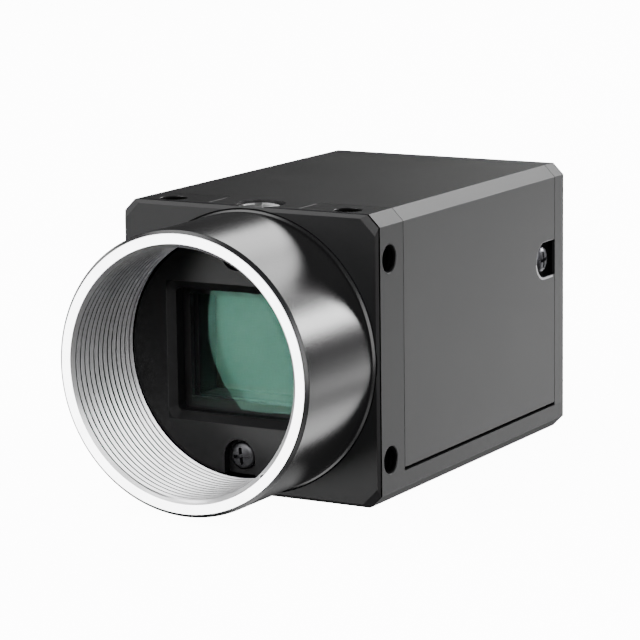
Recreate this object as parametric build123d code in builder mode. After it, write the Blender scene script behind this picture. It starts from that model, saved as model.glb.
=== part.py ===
from build123d import *
import os
from math import sqrt

# Machine vision camera: a small square body with a 1 inch, 32 threads per inch lens mount.
# Millimetres. The origin is the centre of the lens flange face, on the optical axis.
# +Y runs back through the body, +X is to the right seen from the front, and +Z is up.

# Body, all housing pieces together, a little wider than the lens mount ring
body_margin = 0.5
body_depth = 42.6
edge_chamfer = 1.2
front_bevel = 0.36
front_side_bevel = 0.19
front_corner_bevel = 0.71
rear_bevel = 0.32

# Lens mount ring
ring_length = 12.84
thread_bore_radius = 12.27
ring_wall = 1.73
ring_edge_chamfer = 0.33
thread_mouth_chamfer = 0.41
relief_step = 0.28
relief_length = 0.5
spigot_step = 0.8
spigot_length = 0.85
ring_fit = 0.05
foot_flare = 0.25
foot_sink = 0.2

# Front plate round the foot of the ring
plate_lip = 0.36
plate_seam = 0.28
plate_seam_depth = 0.2
foot_gap = 0.11

# Front housing: block, ring groove, nose inside the ring and base tray
block_depth = 5.35
nose_step = 0.15
groove_spare = 0.1
base_height = 2.82
base_floor = 1.8
rail_thickness = 1.1
rail_height = 5.6
boss_radius = 1.7

# Top cover: an upside-down U with a tongue over the front block
cover_wall = 1.2
slot_width = 0.36
slot_edge_round = 0.16
cover_seam = 0.1
cover_fit = 0.05
tongue_width = 10.2
tongue_thickness = 0.9
tongue_corner = 1.0

# Rear panel and its side tabs
panel_thickness = 2.5
tab_thickness = 1.4
tab_length = 4.6
tab_height = 6.2
lock_spacing = 21.0
lock_hole_radius = 0.8

# Threaded M3 fixing holes in the front block and the base
fixing_from_side = 4.5
fixing_inset = 2.5
fixing_radius = 1.25
fixing_mouth_radius = 1.45
fixing_depth = 3.0
base_fixing_from_rear = 8.0
base_fixing_depth = 2.4
base_boss_radius = 2.1
base_boss_height = 1.3

# Sensor mask, screwed to the nose, with a bevelled window
mask_proud = 2.2
mask_thickness = 2.0
mask_fit = 0.12
window_width = 14.96
window_height = 12.46
window_corner = 0.5
window_bevel_depth = 0.7
window_bevel_x = 0.72
window_bevel_z = 0.82
window_bevel_corner = 1.1
mask_screw_inset = 1.95
mask_notch_radius = 1.75
mask_notch_floor = 1.0

# Optical stack behind the mask
glass_width = 17.6
glass_height = 14.8
glass_thickness = 1.0
pocket_fit = 0.05
seal_thickness = 0.7
seal_open_width = 14.6
seal_open_height = 10.6
cover_glass_width = 15.4
cover_glass_height = 12.2
cover_glass_thickness = 0.7
package_width = 16.0
package_height = 13.2
package_floor = 0.8
package_fit = 0.1
die_width = 14.2
die_height = 10.4
die_thickness = 0.4
die_fit = 0.1
flange_distance = 17.526
glass_shift_ratio = 0.34

# Circuit boards and what joins them
board_fit = 0.15
board_corner = 1.0
board_thickness = 1.2
board_hole_inset = 1.8
standoff_radius = 1.7
front_gap = 6.0
rear_room = 17.5
stud_radius = 0.85
stud_fit = 0.03
stud_grip = 2.4
link_inset = 5.0
link_width = 3.2
link_wall = 0.8
link_from_edge = 3.0
processor_side = 12.0
processor_height = 1.4
processor_z = 2.0
memory_width = 7.0
memory_length = 8.0
memory_height = 1.0
memory_x = 5.0
memory_z = 3.0

# Network socket
socket_width = 15.9
socket_height = 13.3
socket_from_top = 1.65
socket_proud = 0.3
socket_skin = 0.3
socket_fit = 0.1
plug_width = 11.8
plug_height = 6.8
plug_rise = 1.6
plug_depth = 12.5
latch_width = 6.2
latch_height = 1.5
latch_key_width = 3.4
latch_key_height = 1.2
contact_pitch = 1.02
contact_count = 8
contact_width = 0.4
contact_thickness = 0.3
contact_run = 6.0
contact_drop = 2.0
contact_foot = 0.8
contact_setback = 1.8

# Round six-pin connector
io_from_rail = 5.85
io_from_base = 8.5
io_radius = 4.3
io_bore_radius = 3.6
io_flange_radius = 4.9
io_flange_length = 1.2
io_proud = 5.4
io_cavity = 4.2
io_fit = 0.05
io_key_width = 1.0
pin_radius = 0.28
pin_circle_radius = 1.8
pin_count = 6
pin_recess = 0.9

# Status light
light_from_rail = 4.55
light_radius = 0.9
light_fit = 0.05
light_proud = 0.1
led_side = 1.5
led_height = 0.6

# Screws: head and shank radii and lengths
mask_head_radius = 1.4
mask_head_height = 0.8
mask_shank_radius = 0.75
mask_shank_length = 3.2
mask_hole_spare = 0.2
front_screw_y = 2.7
front_head_radius = 1.9
front_head_height = 0.4
front_head_sink = 0.15
front_pocket_radius = 2.5
front_shank_radius = 0.95
front_shank_length = 2.4
side_screw_from_rear = 5.1
side_screw_z = 4.65
side_head_radius = 1.45
side_head_height = 0.55
side_head_sink = 0.25
side_notch_radius = 1.9
side_shank_radius = 0.8
side_shank_length = 1.6
board_head_radius = 1.5
board_head_height = 0.9
screw_fit = 0.05
shank_sides = 8
head_sides = 6

# Radii that follow from the thread
ring_radius = thread_bore_radius + ring_wall
thread_mouth_radius = thread_bore_radius + thread_mouth_chamfer
relief_radius = thread_bore_radius + relief_step
spigot_radius = ring_radius - spigot_step
foot_radius = ring_radius + foot_flare
mask_radius = thread_bore_radius - mask_fit
mask_screw_offset = mask_radius - mask_screw_inset
nose_radius = mask_radius - nose_step

# Places along the optical axis
y_front = ring_length
y_rear = y_front + body_depth
plate_thickness = plate_lip + plate_seam
block_front = y_front + plate_thickness
foot_seat = y_front + foot_sink
block_back = y_front + block_depth
cover_front = block_back + cover_seam
panel_front = y_rear - panel_thickness
cover_back = panel_front - cover_seam
mask_front = y_front - mask_proud
mask_back = mask_front + mask_thickness
glass_back = mask_back + glass_thickness
seal_back = glass_back + seal_thickness
cover_glass_back = seal_back + cover_glass_thickness
die_front = flange_distance + glass_shift_ratio * (glass_thickness + cover_glass_thickness)
die_back = die_front + die_thickness
sensor_board_front = die_back + package_floor
sensor_board_back = sensor_board_front + board_thickness
main_board_front = sensor_board_back + front_gap
main_board_back = main_board_front + board_thickness
interface_board_back = y_rear - rear_room
interface_board_front = interface_board_back - board_thickness
rear_gap = interface_board_front - main_board_back
fixing_y = y_front + fixing_inset
base_fixing_y = y_rear - base_fixing_from_rear
front_screw_place = y_front + front_screw_y
stud_length = board_thickness + stud_grip - screw_fit
side_screw_place = y_rear - side_screw_from_rear
socket_rear = y_rear + socket_proud
io_rear = y_rear + io_proud
io_floor = io_rear - io_cavity

# Heights and widths that several pieces share
half = ring_radius + body_margin
body_side = 2 * half
fixing_spacing = body_side - 2 * fixing_from_side
base_top = base_height - half
cover_bottom = base_top + slot_width
cover_inner = half - cover_wall
rail_outer = cover_inner - cover_fit
rail_inner = rail_outer - rail_thickness
floor_top = base_floor - half
tab_outer = cover_inner - cover_fit
board_side = 2 * (rail_inner - board_fit)
board_hole_spacing = board_side - 2 * board_hole_inset
link_length = board_side - 2 * link_inset
link_z = link_from_edge - board_side / 2
socket_z = half - socket_from_top - socket_height / 2
plug_z = socket_z + plug_rise
io_x = io_from_rail - rail_inner
io_z = io_from_base - half
light_x = rail_inner - light_from_rail
light_z = io_z


def across(y):
    """Plane square to the optical axis at y, with x right and z up, that faces the lens."""
    return Plane.XZ.offset(-y)


def body_outline(inset=0.0, mode=Mode.ADD):
    """Square with four chamfered corners, drawn in the sketch that is open."""
    edge = half - inset
    corner = edge - (edge_chamfer - inset * (2 - sqrt(2)))
    points = [(corner, edge), (edge, corner), (edge, -corner), (corner, -edge)]
    points += [(-corner, -edge), (-edge, -corner), (-edge, corner), (-corner, edge)]
    Polygon(*points, mode=mode)


def face_outline():
    """Front face inside its bevels, drawn in the sketch that is open."""
    top = half - front_bevel
    side = half - front_side_bevel
    reach = 2 * half - edge_chamfer - sqrt(2) * front_corner_bevel
    points = [(reach - top, top), (side, reach - side), (side, side - reach), (reach - top, -top)]
    points += [(top - reach, -top), (-side, side - reach), (-side, reach - side), (top - reach, top)]
    Polygon(*points)


def plug_outline(mode=Mode.ADD):
    """Mouth of the network socket: the plug's square with its latch slot and key below."""
    with Locations((0, plug_z)):
        Rectangle(plug_width, plug_height, mode=mode)
    with Locations((0, plug_z - plug_height / 2 - latch_height / 2)):
        Rectangle(latch_width, latch_height, mode=mode)
    with Locations((0, plug_z - plug_height / 2 - latch_height - latch_key_height / 2)):
        Rectangle(latch_key_width, latch_key_height, mode=mode)


def small_round(radius, mode=Mode.ADD):
    """Eight-sided outline for a shank or its hole, hidden inside the body."""
    RegularPolygon(radius, shank_sides, mode=mode)


def screw(head_radius, head_height, shank_radius, shank_length):
    """Screw on the XY plane: its head rises along +Z and its shank goes down."""
    with BuildPart() as one:
        with BuildSketch(Plane.XY):
            Circle(head_radius)
        extrude(amount=head_height)
        with BuildSketch(Plane.XY):
            small_round(shank_radius)
        extrude(amount=-shank_length)
    return one.part


def standoff(length):
    """Hexagonal spacer behind the XY plane, with a stud in front and a threaded hole behind."""
    with BuildPart() as one:
        with BuildSketch(Plane.XY):
            RegularPolygon(standoff_radius, head_sides)
        extrude(amount=-length)
        with BuildSketch(Plane.XY):
            small_round(stud_radius)
        extrude(amount=stud_length)
        with BuildSketch(Plane.XY.offset(-length)):
            small_round(stud_radius + stud_fit)
        extrude(amount=stud_grip, mode=Mode.SUBTRACT)
    return one.part


def circuit_board(front):
    """Square board with cut corners and four corner holes, its front face at y = front."""
    with BuildPart() as one:
        with BuildSketch(across(front)):
            Rectangle(board_side, board_side)
            chamfer(vertices(), board_corner)
            with GridLocations(board_hole_spacing, board_hole_spacing, 2, 2):
                small_round(stud_radius + screw_fit, Mode.SUBTRACT)
        extrude(amount=-board_thickness)
    return one.part


def fixing_hole(depth):
    """Tool for a threaded fixing hole with a countersunk mouth, cut down from the XY plane."""
    lead = fixing_mouth_radius - fixing_radius
    with BuildPart() as one:
        with BuildSketch(Plane.XZ):
            with BuildLine():
                Polyline(
                    (0, 0),
                    (fixing_mouth_radius, 0),
                    (fixing_radius, -lead),
                    (fixing_radius, -depth),
                    (0, -depth),
                    close=True,
                )
            make_face()
        revolve(axis=Axis.Z)
    return one.part


def save(piece, name):
    """Label a finished piece and write its STEP file."""
    piece.label = name
    export_step(piece, f"parts/{name}.step")


os.makedirs("parts", exist_ok=True)

# Outer form that all housing pieces share, bevelled in front and behind
with BuildPart() as envelope:
    with BuildSketch(across(y_front)):
        face_outline()
    with BuildSketch(across(y_front + front_bevel)):
        body_outline()
    loft(ruled=True)
    with BuildSketch(across(y_front + front_bevel)):
        body_outline()
    extrude(amount=front_bevel - body_depth)
    chamfer(faces().sort_by(Axis.Y)[-1].edges(), rear_bevel)

# Lens mount ring: flange face in front, a flared foot sunk in the front plate, a shoulder on
# the front block and a spigot in its groove
with BuildPart() as lens_mount_ring:
    spigot_end = block_front + spigot_length
    foot_start = y_front - foot_flare + foot_gap / 2
    relief_front = mask_front - relief_length
    with BuildSketch(Plane.XY):
        with BuildLine():
            Polyline(
                (thread_mouth_radius, 0),
                (ring_radius - ring_edge_chamfer, 0),
                (ring_radius, ring_edge_chamfer),
                (ring_radius, foot_start),
                (foot_radius, foot_start + foot_flare),
                (foot_radius, foot_seat),
                (ring_radius, foot_seat),
                (ring_radius, block_front),
                (spigot_radius, block_front),
                (spigot_radius, spigot_end),
                (relief_radius, spigot_end),
                (relief_radius, relief_front),
                (thread_bore_radius, relief_front),
                (thread_bore_radius, thread_mouth_chamfer),
                close=True,
            )
        make_face()
    revolve(axis=Axis.Y)
save(lens_mount_ring.part, "lens_mount_ring")

# Front plate: a bevelled lip, and a smaller step behind it that leaves the fine dark seam
with BuildPart() as front_plate:
    with BuildSketch(across(y_front)):
        body_outline()
    extrude(amount=-plate_lip)
    with BuildSketch(across(y_front + plate_lip)):
        body_outline(plate_seam_depth)
    extrude(amount=-plate_seam)
    add(envelope.part, mode=Mode.INTERSECT)
    with BuildSketch(across(y_front)):
        Circle(foot_radius + foot_gap)
    extrude(amount=-foot_sink, mode=Mode.SUBTRACT)
    with BuildSketch(across(y_front)):
        Circle(ring_radius + ring_fit)
    extrude(amount=-plate_thickness, mode=Mode.SUBTRACT)
save(front_plate.part, "front_plate")

# Front housing: one casting of front block, nose and base tray
with BuildPart() as front_housing:
    groove_radius = spigot_radius + ring_fit
    groove_back = block_front + spigot_length + groove_spare
    with BuildSketch(across(block_front)):
        body_outline()
    extrude(amount=-(block_back - block_front))
    # base tray below the slot, with a rounded corner where it leaves the block
    with BuildSketch(across(block_back)):
        body_outline()
        with Locations((0, base_top + half)):
            Rectangle(body_side, body_side, mode=Mode.SUBTRACT)
    extrude(amount=-(y_rear - block_back))
    add(envelope.part, mode=Mode.INTERSECT)
    slot_end = edges().filter_by(Axis.X).sort_by_distance((0, block_back, base_top))[0]
    fillet(slot_end, slot_edge_round)
    # rails that stand inside the cover's sides
    with BuildSketch(across(block_back)):
        rail_middle = (rail_outer + rail_inner) / 2
        with Locations((0, floor_top + rail_height / 2)):
            with GridLocations(2 * rail_middle, 0, 2, 1):
                Rectangle(rail_thickness, rail_height)
    extrude(amount=-(cover_back - block_back))
    # trough between the rails, that ends at the sill under the rear panel
    with BuildSketch(across(block_back)):
        with Locations((0, floor_top + half)):
            Rectangle(2 * rail_inner, body_side)
    extrude(amount=-(panel_front - block_back), mode=Mode.SUBTRACT)
    # groove for the ring's spigot, and the nose that carries the mask inside the ring
    with BuildSketch(across(block_front)):
        Circle(groove_radius)
    extrude(amount=-(groove_back - block_front), mode=Mode.SUBTRACT)
    with BuildSketch(across(mask_back)):
        Circle(nose_radius)
    extrude(amount=-(groove_back - mask_back))
    # pocket for filter and seal, and the window behind it for the image sensor
    with BuildSketch(across(mask_back)):
        Rectangle(glass_width + 2 * pocket_fit, glass_height + 2 * pocket_fit)
    extrude(amount=-(seal_back - mask_back), mode=Mode.SUBTRACT)
    with BuildSketch(across(seal_back)):
        Rectangle(package_width + 2 * package_fit, package_height + 2 * package_fit)
    extrude(amount=-(block_back - seal_back), mode=Mode.SUBTRACT)
    # bosses behind the block that carry the sensor board
    with BuildSketch(across(block_back)):
        with GridLocations(board_hole_spacing, board_hole_spacing, 2, 2):
            RegularPolygon(boss_radius, shank_sides)
    extrude(amount=-(sensor_board_front - block_back))
    with BuildSketch(across(sensor_board_front)):
        with GridLocations(board_hole_spacing, board_hole_spacing, 2, 2):
            small_round(stud_radius + stud_fit)
    extrude(amount=stud_grip, mode=Mode.SUBTRACT)
    # bosses on the floor for the rear pair of fixing holes
    with BuildSketch(Plane.XY.offset(floor_top)):
        with Locations((0, base_fixing_y)):
            with GridLocations(fixing_spacing, 0, 2, 1):
                RegularPolygon(base_boss_radius, shank_sides)
    extrude(amount=base_boss_height)
    # threaded holes for the mask screws
    mask_hole_depth = mask_shank_length + mask_notch_floor - mask_thickness + mask_hole_spare
    with BuildSketch(across(mask_back)):
        with GridLocations(0, 2 * mask_screw_offset, 1, 2):
            small_round(mask_shank_radius + stud_fit)
    extrude(amount=-mask_hole_depth, mode=Mode.SUBTRACT)
    # recess for the cover's tongue, and the hole for its screw
    with BuildSketch(Plane.XY.offset(half)):
        with Locations((0, (block_front + block_back) / 2)):
            Rectangle(tongue_width + 2 * cover_fit, block_back - block_front)
        fillet(vertices().group_by(Axis.Y)[0], tongue_corner + cover_fit)
    extrude(amount=-tongue_thickness, mode=Mode.SUBTRACT)
    with BuildSketch(Plane.XY.offset(half - tongue_thickness)):
        with Locations((0, front_screw_place)):
            small_round(front_shank_radius + screw_fit)
    extrude(amount=-front_shank_length, mode=Mode.SUBTRACT)
    # fixing holes on all four sides of the block, and a second pair under the base
    with Locations(Plane((0, fixing_y, half), z_dir=(0, 0, 1))):
        with GridLocations(fixing_spacing, 0, 2, 1):
            add(fixing_hole(fixing_depth), mode=Mode.SUBTRACT)
    with Locations(Plane((0, fixing_y, -half), x_dir=(1, 0, 0), z_dir=(0, 0, -1))):
        with GridLocations(fixing_spacing, 0, 2, 1):
            add(fixing_hole(fixing_depth), mode=Mode.SUBTRACT)
    with Locations(Plane((half, fixing_y, 0), x_dir=(0, 0, 1), z_dir=(1, 0, 0))):
        with GridLocations(fixing_spacing, 0, 2, 1):
            add(fixing_hole(fixing_depth), mode=Mode.SUBTRACT)
    with Locations(Plane((-half, fixing_y, 0), x_dir=(0, 0, 1), z_dir=(-1, 0, 0))):
        with GridLocations(fixing_spacing, 0, 2, 1):
            add(fixing_hole(fixing_depth), mode=Mode.SUBTRACT)
    with Locations(Plane((0, base_fixing_y, -half), x_dir=(1, 0, 0), z_dir=(0, 0, -1))):
        with GridLocations(fixing_spacing, 0, 2, 1):
            add(fixing_hole(base_fixing_depth), mode=Mode.SUBTRACT)
save(front_housing.part, "front_housing")

# Top cover: roof and sides, a tongue in front and a screw recess at the back of each side
with BuildPart() as top_cover:
    side_seat = side_head_height + side_head_sink
    tongue_start = block_front + cover_fit
    tongue_end = cover_front + cover_wall
    with BuildSketch(across(cover_front)):
        body_outline()
        with Locations((0, cover_bottom - half)):
            Rectangle(body_side, body_side, mode=Mode.SUBTRACT)
    extrude(amount=-(cover_back - cover_front))
    fillet(edges().filter_by(Axis.X).group_by(Axis.Z)[0], slot_edge_round)
    with BuildSketch(across(cover_front)):
        body_outline(cover_wall)
    extrude(amount=-(cover_back - cover_front), mode=Mode.SUBTRACT)
    with BuildSketch(Plane.XY.offset(half)):
        with Locations((0, (tongue_start + tongue_end) / 2)):
            Rectangle(tongue_width, tongue_end - tongue_start)
        fillet(vertices().group_by(Axis.Y)[0], tongue_corner)
    extrude(amount=-tongue_thickness)
    # pocket and clearance hole for the front screw
    with BuildSketch(Plane.XY.offset(half)):
        with Locations((0, front_screw_place)):
            Circle(front_pocket_radius)
    extrude(amount=-(front_head_sink + front_head_height), mode=Mode.SUBTRACT)
    with BuildSketch(Plane.XY.offset(half)):
        with Locations((0, front_screw_place)):
            small_round(front_shank_radius + screw_fit)
    extrude(amount=-tongue_thickness, mode=Mode.SUBTRACT)
    # recess for each side screw, open towards the rear panel
    for side in (half - side_seat, -half):
        with BuildSketch(Plane.YZ.offset(side)):
            with Locations((side_screw_place, side_screw_z)):
                Circle(side_notch_radius)
            with Locations(((side_screw_place + cover_back) / 2, side_screw_z)):
                Rectangle(cover_back - side_screw_place, 2 * side_notch_radius)
        extrude(amount=side_seat, mode=Mode.SUBTRACT)
    with BuildSketch(Plane.YZ.offset(-half)):
        with Locations((side_screw_place, side_screw_z)):
            small_round(side_shank_radius + screw_fit)
    extrude(amount=body_side, mode=Mode.SUBTRACT)
save(top_cover.part, "top_cover")

# Rear panel: stands on the base's sill, with two side tabs for the side screws
with BuildPart() as rear_panel:
    with BuildSketch(across(panel_front)):
        body_outline()
        with Locations((0, base_top - half)):
            Rectangle(body_side, body_side, mode=Mode.SUBTRACT)
    extrude(amount=-(y_rear - panel_front))
    add(envelope.part, mode=Mode.INTERSECT)
    for side in (tab_outer - tab_thickness, -tab_outer):
        with BuildSketch(Plane.YZ.offset(side)):
            with Locations((panel_front - tab_length / 2, side_screw_z)):
                Rectangle(tab_length, tab_height)
        extrude(amount=tab_thickness)
    with BuildSketch(across(panel_front)):
        with Locations((0, socket_z)):
            Rectangle(socket_width + 2 * socket_fit, socket_height + 2 * socket_fit)
        with Locations((io_x, io_z)):
            Circle(io_radius + io_fit)
        with Locations((light_x, light_z)):
            Circle(light_radius + light_fit)
        with Locations((0, socket_z)):
            with GridLocations(lock_spacing, 0, 2, 1):
                Circle(lock_hole_radius)
    extrude(amount=-(y_rear - panel_front), mode=Mode.SUBTRACT)
    with BuildSketch(Plane.YZ.offset(-half)):
        with Locations((side_screw_place, side_screw_z)):
            small_round(side_shank_radius + stud_fit)
    extrude(amount=body_side, mode=Mode.SUBTRACT)
save(rear_panel.part, "rear_panel")

# Sensor mask: black disc inside the ring, with a bevelled window and two screw notches
with BuildPart() as sensor_mask:
    with BuildSketch(across(mask_front)):
        Circle(mask_radius)
    extrude(amount=-mask_thickness)
    with BuildSketch(across(mask_front)):
        Rectangle(window_width, window_height)
        fillet(vertices(), window_corner)
    extrude(amount=-mask_thickness, mode=Mode.SUBTRACT)
    with BuildSketch(across(mask_front)):
        Rectangle(window_width + 2 * window_bevel_x, window_height + 2 * window_bevel_z)
        fillet(vertices(), window_bevel_corner)
    with BuildSketch(across(mask_front + window_bevel_depth)):
        Rectangle(window_width, window_height)
        fillet(vertices(), window_corner)
    loft(ruled=True, mode=Mode.SUBTRACT)
    with BuildSketch(across(mask_front)):
        with GridLocations(0, 2 * mask_screw_offset, 1, 2):
            Circle(mask_notch_radius)
        with GridLocations(0, 2 * (mask_screw_offset + mask_notch_radius), 1, 2):
            Rectangle(2 * mask_notch_radius, 2 * mask_notch_radius)
    extrude(amount=-mask_notch_floor, mode=Mode.SUBTRACT)
    with BuildSketch(across(mask_front)):
        with GridLocations(0, 2 * mask_screw_offset, 1, 2):
            small_round(mask_shank_radius + screw_fit)
    extrude(amount=-mask_thickness, mode=Mode.SUBTRACT)
save(sensor_mask.part, "sensor_mask")

# Filter glass, laid in the nose's pocket and held down by the mask
with BuildPart() as filter_glass:
    with BuildSketch(across(mask_back)):
        Rectangle(glass_width, glass_height)
    extrude(amount=-glass_thickness)
save(filter_glass.part, "filter_glass")

# Rubber seal between the filter and the image sensor
with BuildPart() as sensor_seal:
    with BuildSketch(across(glass_back)):
        Rectangle(glass_width, glass_height)
        Rectangle(seal_open_width, seal_open_height, mode=Mode.SUBTRACT)
    extrude(amount=-seal_thickness)
save(sensor_seal.part, "sensor_seal")

# Image sensor: cover glass, ceramic package with its cavity, and the die
with BuildPart() as sensor_cover_glass:
    with BuildSketch(across(seal_back)):
        Rectangle(cover_glass_width, cover_glass_height)
    extrude(amount=-cover_glass_thickness)
save(sensor_cover_glass.part, "sensor_cover_glass")

with BuildPart() as sensor_package:
    with BuildSketch(across(cover_glass_back)):
        Rectangle(package_width, package_height)
    extrude(amount=-(sensor_board_front - cover_glass_back))
    with BuildSketch(across(cover_glass_back)):
        Rectangle(die_width + 2 * die_fit, die_height + 2 * die_fit)
    extrude(amount=-(die_back - cover_glass_back), mode=Mode.SUBTRACT)
save(sensor_package.part, "sensor_package")

with BuildPart() as sensor_die:
    with BuildSketch(across(die_front)):
        Rectangle(die_width, die_height)
    extrude(amount=-die_thickness)
save(sensor_die.part, "sensor_die")

# Three circuit boards, one behind the other
save(circuit_board(sensor_board_front), "sensor_board")
save(circuit_board(main_board_front), "main_board")
save(circuit_board(interface_board_front), "interface_board")

# Spacers between the boards, and the screws that close the stack
with BuildPart() as front_standoffs:
    with Locations(across(sensor_board_back)):
        with GridLocations(board_hole_spacing, board_hole_spacing, 2, 2):
            add(standoff(front_gap))
save(front_standoffs.part, "front_standoffs")

with BuildPart() as rear_standoffs:
    with Locations(across(main_board_back)):
        with GridLocations(board_hole_spacing, board_hole_spacing, 2, 2):
            add(standoff(rear_gap))
save(rear_standoffs.part, "rear_standoffs")

with BuildPart() as board_screws:
    with BuildSketch(across(interface_board_back)):
        with GridLocations(board_hole_spacing, board_hole_spacing, 2, 2):
            RegularPolygon(board_head_radius, head_sides)
    extrude(amount=-board_head_height)
    with BuildSketch(across(interface_board_back)):
        with GridLocations(board_hole_spacing, board_hole_spacing, 2, 2):
            small_round(stud_radius)
    extrude(amount=stud_length)
save(board_screws.part, "board_screws")

# Connectors that join each pair of boards
for link_name, link_front, link_gap in (
    ("sensor_link", sensor_board_back, front_gap),
    ("interface_link", main_board_back, rear_gap),
):
    with BuildPart() as link:
        with BuildSketch(across(link_front)):
            with Locations((0, link_z)):
                Rectangle(link_length, link_width)
        extrude(amount=-link_gap / 2)
        with BuildSketch(across(link_front + link_gap / 2)):
            with Locations((0, link_z)):
                Rectangle(link_length - link_wall, link_width - link_wall)
        extrude(amount=-link_gap / 2)
    save(link.part, link_name)

# Chips on the main board: processor behind, two memories in front
with BuildPart() as processor_chip:
    with BuildSketch(across(main_board_back)):
        with Locations((0, processor_z)):
            Rectangle(processor_side, processor_side)
    extrude(amount=-processor_height)
    chamfer(faces().sort_by(Axis.Y)[-1].edges(), processor_height / 4)
save(processor_chip.part, "processor_chip")

with BuildPart() as memory_chips:
    with BuildSketch(across(main_board_front)):
        with Locations((0, memory_z)):
            with GridLocations(2 * memory_x, 0, 2, 1):
                Rectangle(memory_width, memory_length)
    extrude(amount=memory_height)
save(memory_chips.part, "memory_chips")

# Network socket: folded metal shell, moulded insert with the plug's mouth, sprung contacts
with BuildPart() as network_socket_shell:
    with BuildSketch(across(interface_board_back)):
        with Locations((0, socket_z)):
            Rectangle(socket_width, socket_height)
            Rectangle(socket_width - 2 * socket_skin, socket_height - 2 * socket_skin, mode=Mode.SUBTRACT)
    extrude(amount=-(socket_rear - interface_board_back))
    with BuildSketch(across(socket_rear - socket_skin)):
        with Locations((0, socket_z)):
            Rectangle(socket_width, socket_height)
        plug_outline(Mode.SUBTRACT)
    extrude(amount=-socket_skin)
save(network_socket_shell.part, "network_socket_shell")

with BuildPart() as network_socket_insert:
    insert_rear = socket_rear - socket_skin
    insert_width = socket_width - 2 * socket_skin - 2 * stud_fit
    insert_height = socket_height - 2 * socket_skin - 2 * stud_fit
    with BuildSketch(across(interface_board_back)):
        with Locations((0, socket_z)):
            Rectangle(insert_width, insert_height)
    extrude(amount=-(insert_rear - interface_board_back))
    with BuildSketch(across(insert_rear)):
        plug_outline()
    extrude(amount=plug_depth, mode=Mode.SUBTRACT)
save(network_socket_insert.part, "network_socket_insert")

with BuildPart() as network_contacts:
    foot_rear = insert_rear - contact_setback
    foot_front = foot_rear - contact_foot
    tip = foot_front - contact_run
    roof = plug_z + plug_height / 2
    for index in range(contact_count):
        with BuildSketch(Plane.YZ.offset((index - (contact_count - 1) / 2) * contact_pitch)):
            with BuildLine():
                Polyline(
                    (foot_rear, roof),
                    (foot_front, roof),
                    (tip, roof - contact_drop),
                    (tip, roof - contact_drop - contact_thickness),
                    (foot_front, roof - contact_thickness),
                    (foot_rear, roof - contact_thickness),
                    close=True,
                )
            make_face()
        extrude(amount=contact_width / 2, both=True)
save(network_contacts.part, "network_contacts")

# Round connector: keyed shell with an inner flange, insulator and six pins
with BuildPart() as io_connector_shell:
    with BuildSketch(across(panel_front - io_flange_length)):
        with Locations((io_x, io_z)):
            Circle(io_flange_radius)
    extrude(amount=-io_flange_length)
    with BuildSketch(across(panel_front)):
        with Locations((io_x, io_z)):
            Circle(io_radius)
    extrude(amount=-(io_rear - panel_front))
    chamfer(faces().sort_by(Axis.Y)[-1].edges(), (io_radius - io_bore_radius) / 3)
    with BuildSketch(across(panel_front - io_flange_length)):
        with Locations((io_x, io_z)):
            Circle(io_bore_radius)
    extrude(amount=-(io_rear - panel_front + io_flange_length), mode=Mode.SUBTRACT)
    with BuildSketch(across(io_floor)):
        with Locations((io_x, io_z + io_bore_radius)):
            Rectangle(io_key_width, io_radius - io_bore_radius)
    extrude(amount=-io_cavity, mode=Mode.SUBTRACT)
save(io_connector_shell.part, "io_connector_shell")

with BuildPart() as io_connector_insert:
    with BuildSketch(across(panel_front - io_flange_length)):
        with Locations((io_x, io_z)):
            Circle(io_bore_radius - stud_fit)
            with PolarLocations(pin_circle_radius, pin_count):
                small_round(pin_radius + stud_fit, Mode.SUBTRACT)
    extrude(amount=-(io_floor - panel_front + io_flange_length))
save(io_connector_insert.part, "io_connector_insert")

with BuildPart() as io_connector_pins:
    with BuildSketch(across(interface_board_back)):
        with Locations((io_x, io_z)):
            with PolarLocations(pin_circle_radius, pin_count):
                small_round(pin_radius)
    extrude(amount=-(io_rear - pin_recess - interface_board_back))
save(io_connector_pins.part, "io_connector_pins")

# Status light: a chip on the interface board, and the light pipe through the rear panel
with BuildPart() as status_led:
    with BuildSketch(across(interface_board_back)):
        with Locations((light_x, light_z)):
            Rectangle(led_side, led_side)
    extrude(amount=-led_height)
save(status_led.part, "status_led")

with BuildPart() as status_light_pipe:
    with BuildSketch(across(interface_board_back + led_height)):
        with Locations((light_x, light_z)):
            Circle(light_radius)
    extrude(amount=-(y_rear + light_proud - interface_board_back - led_height))
save(status_light_pipe.part, "status_light_pipe")

# Screws: two in the mask, one in the cover's tongue, one in each side of the cover
with BuildPart() as mask_screws:
    with Locations(across(mask_front + mask_notch_floor)):
        with GridLocations(0, 2 * mask_screw_offset, 1, 2):
            add(screw(mask_head_radius, mask_head_height, mask_shank_radius, mask_shank_length))
save(mask_screws.part, "mask_screws")

with BuildPart() as cover_front_screw:
    with Locations(Plane((0, front_screw_place, half - front_head_sink - front_head_height))):
        add(screw(front_head_radius, front_head_height, front_shank_radius, front_shank_length))
save(cover_front_screw.part, "cover_front_screw")

with BuildPart() as cover_side_screws:
    side_floor = half - side_head_sink - side_head_height
    with Locations(Plane((side_floor, side_screw_place, side_screw_z), z_dir=(1, 0, 0))):
        add(screw(side_head_radius, side_head_height, side_shank_radius, side_shank_length))
    mirror(about=Plane.YZ)
save(cover_side_screws.part, "cover_side_screws")
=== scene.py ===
"""Looks, stage, lights and view of a small square machine vision camera."""
import logging
import math
from dataclasses import dataclass, field
from enum import Enum
from typing import Iterable, Optional, Union

import bmesh
import bpy
from mathutils import Matrix, Vector


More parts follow.
